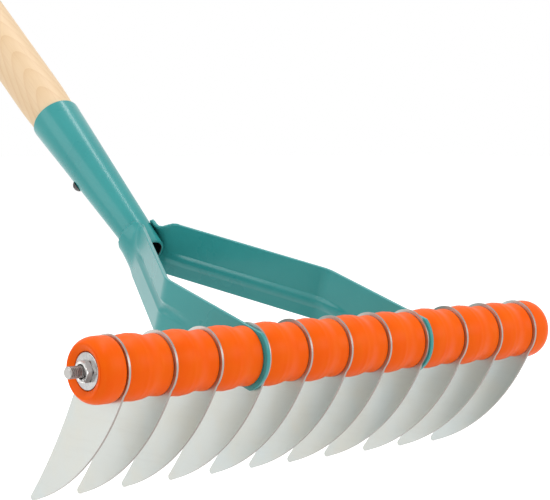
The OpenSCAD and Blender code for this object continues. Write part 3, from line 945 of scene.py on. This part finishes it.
def angle_of(point, centre):
    """Direction of a point from a centre, in degrees."""
    return math.degrees(math.atan2(point.y - centre.y, point.x - centre.x))


def blade_outline():
    """The blade's edge: round head, curved front, round tip, hollow back and shoulder."""
    middle = Vector((0, 0))
    front_c = polar(FRONT_R - FRONT_GAP, FRONT_TURN)
    back_c = polar(BACK_R + BACK_GAP, BACK_TURN)
    shoulder_r = (back_c - SHOULDER).length - BACK_R
    tip_c = meet(front_c, FRONT_R - TIP_R, back_c, BACK_R + TIP_R)
    tip_front = angle_of(tip_c, front_c)
    tip_back = angle_of(tip_c, back_c)
    front_top = meet(middle, HEAD_R, front_c, FRONT_R)
    if front_top.y > 0:
        front_top = front_top.reflect(Vector((-front_c.y, front_c.x)).normalized())
    head_front = angle_of(front_top, middle) % 360
    way = SHOULDER.normalized()
    far = SHOULDER.length
    k = (HEAD_R ** 2 - shoulder_r ** 2 + far * far) / (2 * far)
    head_back = math.degrees(math.acos(k / HEAD_R)) + angle_of(way, middle)
    on_head = polar(HEAD_R, head_back)
    points = arc(middle, HEAD_R, head_back, head_front, 72)
    points += arc(front_c, FRONT_R, angle_of(front_top, front_c) % 360, tip_front % 360, 60)[1:]
    points += arc(tip_c, TIP_R, tip_front % 360, tip_back % 360 + 180, 14)[1:]
    points += arc(back_c, BACK_R, tip_back % 360, angle_of(SHOULDER, back_c) % 360, 60)[1:]
    points += arc(SHOULDER, shoulder_r, angle_of(back_c, SHOULDER), angle_of(on_head, SHOULDER), 14)[1:-1]
    return points


def make_blades():
    hole = arc((0, 0), BORE_R, 360, 0, 48)[:-1]
    edge = 0.14
    first = plate(blade_outline(), hole, BLADE_T, edge)
    for k in range(1, BLADES + 1):
        piece = first if k == BLADES else copy_of(first)
        put(piece, at_x(blade_x(k) - BLADE_T / 2))
        hand_over(piece, "rake_blade_%02d" % k, BLADE, "blade_pack", "blade_steel", "blade_%02d" % k)


# The rollers

def roller_r(t):
    """Radius of a middle roller at a share of its length."""
    lead = 0.04
    rise = 0.36
    hold = 0.5
    fall = 0.79
    crest_at = 0.4
    crest_w = 0.05
    crest_h = 0.22
    flare_from = 0.78
    flare_h = 0.5
    crest = crest_h * math.exp(-((t - crest_at) / crest_w) ** 2)
    bulge = smooth((t + lead) / rise) * (1 - smooth((t - hold) / (fall - hold)))
    flare = flare_h * smooth((t - flare_from) / (1 - flare_from))
    return NECK_R + (ROLLER_R - NECK_R) * bulge + crest + flare


def rim_cut(d):
    """Rounding of a roller's rim at a distance from its face."""
    return 0 if d >= RIM_R else RIM_R - math.sqrt(RIM_R ** 2 - (RIM_R - d) ** 2)


def mid_roller():
    length = GAP - 2 * SIDE_PLAY
    rim_steps = 8
    body_steps = 60
    rim = [RIM_R * (1 - math.cos(math.pi / 2 * i / rim_steps)) for i in range(rim_steps + 1)]
    body = [RIM_R + (length - 2 * RIM_R) * i / body_steps for i in range(1, body_steps)]
    heights = rim + body + [length - h for h in reversed(rim)]
    section = [(ROLLER_BORE_R, length), (ROLLER_BORE_R, 0)]
    section += [(roller_r(h / length) - rim_cut(h) - rim_cut(length - h), h) for h in heights]
    piece = turned(section)
    shade(piece, 50)
    return piece


def end_roller():
    inner = SIDE_PLAY
    flat_h = 6.3
    face_r = 12.2
    rise_h = 2.5
    crest = 1.0
    lip = 0.3
    hollow_r = WASHER_R + SEAT_PLAY
    lip_h = END_ROLLER_L - SEAT_DEPTH + WASHER_T
    floor_h = END_ROLLER_L - SEAT_DEPTH - SIDE_PLAY
    round_steps = 24
    rise_steps = 14
    foot_drop = 0.9
    foot_r = END_ROLLER_R - foot_drop
    section = [(ROLLER_BORE_R, floor_h), (ROLLER_BORE_R, inner), (foot_r, inner)]
    for i in range(1, rise_steps + 1):
        t = math.pi / 2 * i / rise_steps
        section.append((foot_r + (END_ROLLER_R - foot_r) * math.sin(t), inner + rise_h * (1 - math.cos(t))))
    for i in range(round_steps + 1):
        a = math.pi / 2 * i / round_steps
        section.append((face_r + (END_ROLLER_R - face_r) * math.cos(a),
                        flat_h + (END_ROLLER_L - flat_h) * math.sin(a)))
    section.pop()
    dish = [(face_r + crest, END_ROLLER_L, 0), (face_r, END_ROLLER_L, crest), (hollow_r, lip_h, lip),
            (hollow_r, floor_h, lip), (ROLLER_BORE_R, floor_h, 0)]
    section += rounded(dish)[1:-1]
    piece = turned(section)
    shade(piece, 50)
    return piece


def slot_x(n):
    """Left face of the space for a middle roller."""
    if n > MID_BLADE + ARM_STEP:
        return blade_x(n) - BLADE_T / 2 - GAP
    return blade_x(n - 1) + BLADE_T / 2


def make_rollers():
    middle = mid_roller()
    for n in range(2, BLADES + 1):
        piece = middle if n == BLADES else copy_of(middle)
        put(piece, at_x(slot_x(n) + SIDE_PLAY))
        node = "roller_%02d" % n
        hand_over(piece, "orange_" + node, PLASTIC, node, "orange_plastic", node)
    right = end_roller()
    left = copy_of(right)
    for piece, n in ((left, 1), (right, BLADES + 1)):
        put(piece, at_end(n > 1) @ Matrix.Translation((0, 0, ROW_END)))
        node = "roller_%02d" % n
        hand_over(piece, "orange_" + node, PLASTIC, node, "orange_plastic", node)


# The axle rod, washers and nuts

def make_rod():
    """The rod with a thread cut on both of its free ends."""
    thread_pitch = 1.0
    thread_depth = 0.6
    per_turn = 10
    chamfer = 0.7
    hidden = 1.0
    step = 0.2
    core_r = 0.1
    flank_slope = 2.6
    flank_from = 0.65
    start = NUT_X + NUT_T - hidden
    count = round((ROD_END - start) / thread_pitch * per_turn)
    places = [start + (ROD_END - start) * i / count for i in range(count + 1)]
    left = [(THREAD_R, -x) for x in reversed(places)]
    right = [(THREAD_R, x) for x in places]
    plain = [(ROD_R, -start + step), (ROD_R, start - step)]
    section = [(0, -ROD_END)] + left + plain + right + [(0, ROD_END)]
    rod = turned(section, 48)
    for vertex in rod.data.vertices:
        x = vertex.co.z
        r = math.hypot(vertex.co.x, vertex.co.y)
        if abs(x) < start or r < core_r:
            continue
        turn = math.atan2(vertex.co.y, vertex.co.x) / (2 * math.pi)
        phase = (x / thread_pitch - turn) % 1.0
        flank = min(max(abs(phase - 0.5) * flank_slope - flank_from, 0.0), 1.0)
        taper = r - chamfer + (ROD_END - abs(x))
        cut = min(r - thread_depth * flank, taper)
        vertex.co.x *= cut / r
        vertex.co.y *= cut / r
    shade(rod, 45)
    put(rod, along_x)
    hand_over(rod, "threaded_rod", ROD, "blade_pack", "zinc_steel", "axle_rod")


def washer():
    edge = 0.25
    rim = 0.4
    return turned(rounded([
        (BORE_R, 0, edge), (WASHER_R, 0, edge), (WASHER_R, WASHER_T, rim), (BORE_R, WASHER_T, edge)]))


def nut():
    """A hexagon nut, chamfered at both faces."""
    corner_r = NUT_AF / 2 / math.cos(math.pi / 6)
    chamfer_h = (corner_r - NUT_AF / 2) * math.tan(math.pi / 6)
    sink = 0.6
    edge = 0.1
    face_r = NUT_AF / 2 - 0.15
    cone_r = corner_r + 0.2
    cone_h = chamfer_h + 0.2
    piece = turned([
        (BORE_R, sink), (BORE_R + sink, 0), (face_r, 0), (cone_r, cone_h), (cone_r, NUT_T - cone_h),
        (face_r, NUT_T), (BORE_R + sink, NUT_T), (BORE_R, NUT_T - sink)], 96)
    bpy.ops.object.select_all(action="DESELECT")
    bpy.ops.mesh.primitive_cylinder_add(vertices=6, radius=corner_r, depth=2 * NUT_T)
    hexagon = bpy.context.object
    hexagon.data.transform(Matrix.Rotation(math.pi / 6, 4, "Z"))
    modify(piece, "BOOLEAN", operation="INTERSECT", object=hexagon, solver="EXACT")
    bpy.data.objects.remove(hexagon)
    soften(piece, edge, 25, 2)
    return piece


def make_fasteners():
    right_nut = nut()
    right_washer = washer()
    shade(right_washer, 50)
    kinds = ((right_nut, "nut", NUT_X, NUT_ZINC), (right_washer, "washer", WASHER_X, ZINC))
    for first, name, x, zinc in kinds:
        second = copy_of(first)
        for piece, side in ((first, "right"), (second, "left")):
            put(piece, at_end(side == "right") @ Matrix.Translation((0, 0, x)))
            node = "%s_%s" % (name, side)
            hand_over(piece, "axle_" + node, zinc, "blade_pack", "zinc_steel", node)


make_handle()
make_socket()
make_screw()
make_fork()
make_blades()
make_rollers()
make_rod()
make_fasteners()
for number in range(1, BLADES + 2):
    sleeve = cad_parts["sleeve_%02d" % number]
    sleeve.data.materials.clear()
    sleeve.data.materials.append(ZINC)

# The camera at the photograph's place

camera_at = axle + Vector((-0.6711, -0.7096, 0.1046))
camera_way = Vector((0.6645, 0.7452, -0.0555))
camera = bpy.data.objects.new("camera", bpy.data.cameras.new("camera"))
camera.data.sensor_width = 36.0
camera.data.lens = 124.36
camera.data.clip_start = 0.05
camera.location = camera_at
camera.rotation_euler = camera_way.to_track_quat("-Z", "Y").to_euler()
bpy.context.scene.collection.objects.link(camera)
bpy.context.scene.camera = camera

# A pale floor, a white room and soft lamps

def seen_rays(tree):
    """1 for rays that show the room itself: from the camera, off gloss or through glass."""
    path = add(tree, "ShaderNodeLightPath")
    first = add(tree, "ShaderNodeMath", operation="MAXIMUM")
    second = add(tree, "ShaderNodeMath", operation="MAXIMUM")
    tree.links.new(path.outputs["Is Camera Ray"], first.inputs[0])
    tree.links.new(path.outputs["Is Glossy Ray"], first.inputs[1])
    tree.links.new(first.outputs["Value"], second.inputs[0])
    tree.links.new(path.outputs["Is Transmission Ray"], second.inputs[1])
    return second.outputs["Value"]


def make_floor():
    floor_lift = 0.64
    floor_size = 40.0
    bpy.ops.object.select_all(action="DESELECT")
    bpy.ops.mesh.primitive_plane_add(size=floor_size)
    floor = bpy.context.object
    floor.name = "studio_floor"
    material = bpy.data.materials.new("studio_floor")
    material.use_nodes = True
    tree = material.node_tree
    surface = tree.nodes["Principled BSDF"]
    surface.inputs["Base Color"].default_value = (0.85, 0.85, 0.85, 1.0)
    surface.inputs["Roughness"].default_value = 0.9
    surface.inputs["Specular IOR Level"].default_value = 0.0
    surface.inputs["Emission Color"].default_value = (1.0, 1.0, 1.0, 1.0)
    glow = add(tree, "ShaderNodeMath", operation="MULTIPLY")
    glow.inputs[1].default_value = floor_lift
    tree.links.new(seen_rays(tree), glow.inputs[0])
    tree.links.new(glow.outputs["Value"], surface.inputs["Emission Strength"])
    floor.data.materials.append(material)


def make_room():
    room_light = 0.5
    world = bpy.data.worlds.new("white_room")
    bpy.context.scene.world = world
    world.use_nodes = True
    tree = world.node_tree
    back = tree.nodes["Background"]
    back.inputs["Color"].default_value = (1.0, 1.0, 1.0, 1.0)
    level = add(tree, "ShaderNodeMapRange", {"To Min": room_light, "To Max": 1.0})
    tree.links.new(seen_rays(tree), level.inputs["Value"])
    tree.links.new(level.outputs["Result"], back.inputs["Strength"])


def lamp(name, place, aim, width, height, watts):
    data = bpy.data.lights.new(name, "AREA")
    data.shape = "RECTANGLE"
    data.size = width
    data.size_y = height
    data.energy = watts
    lamp_object = bpy.data.objects.new(name, data)
    lamp_object.location = place
    lamp_object.rotation_euler = (Vector(aim) - Vector(place)).to_track_quat("-Z", "Y").to_euler()
    bpy.context.scene.collection.objects.link(lamp_object)


make_floor()
make_room()
head = axle + Vector((0.0, 0.08, 0.02))
lamp("strip_above", axle + Vector((0.25, -0.02, 1.5)), axle + Vector((0.05, 0.1, 0.05)), 1.7, 0.22, 8.0)
lamp("soft_left", axle + Vector((-1.4, 0.6, 0.8)), head, 1.2, 1.2, 8.0)
lamp("glint_left", axle + Vector((-1.05, -0.2, 1.0)), head, 0.2, 0.26, 1.1)
lamp("soft_front", axle + Vector((0.9, -1.5, 0.7)), head, 1.0, 1.0, 9.0)

bpy.context.scene.view_settings.view_transform = "Standard"
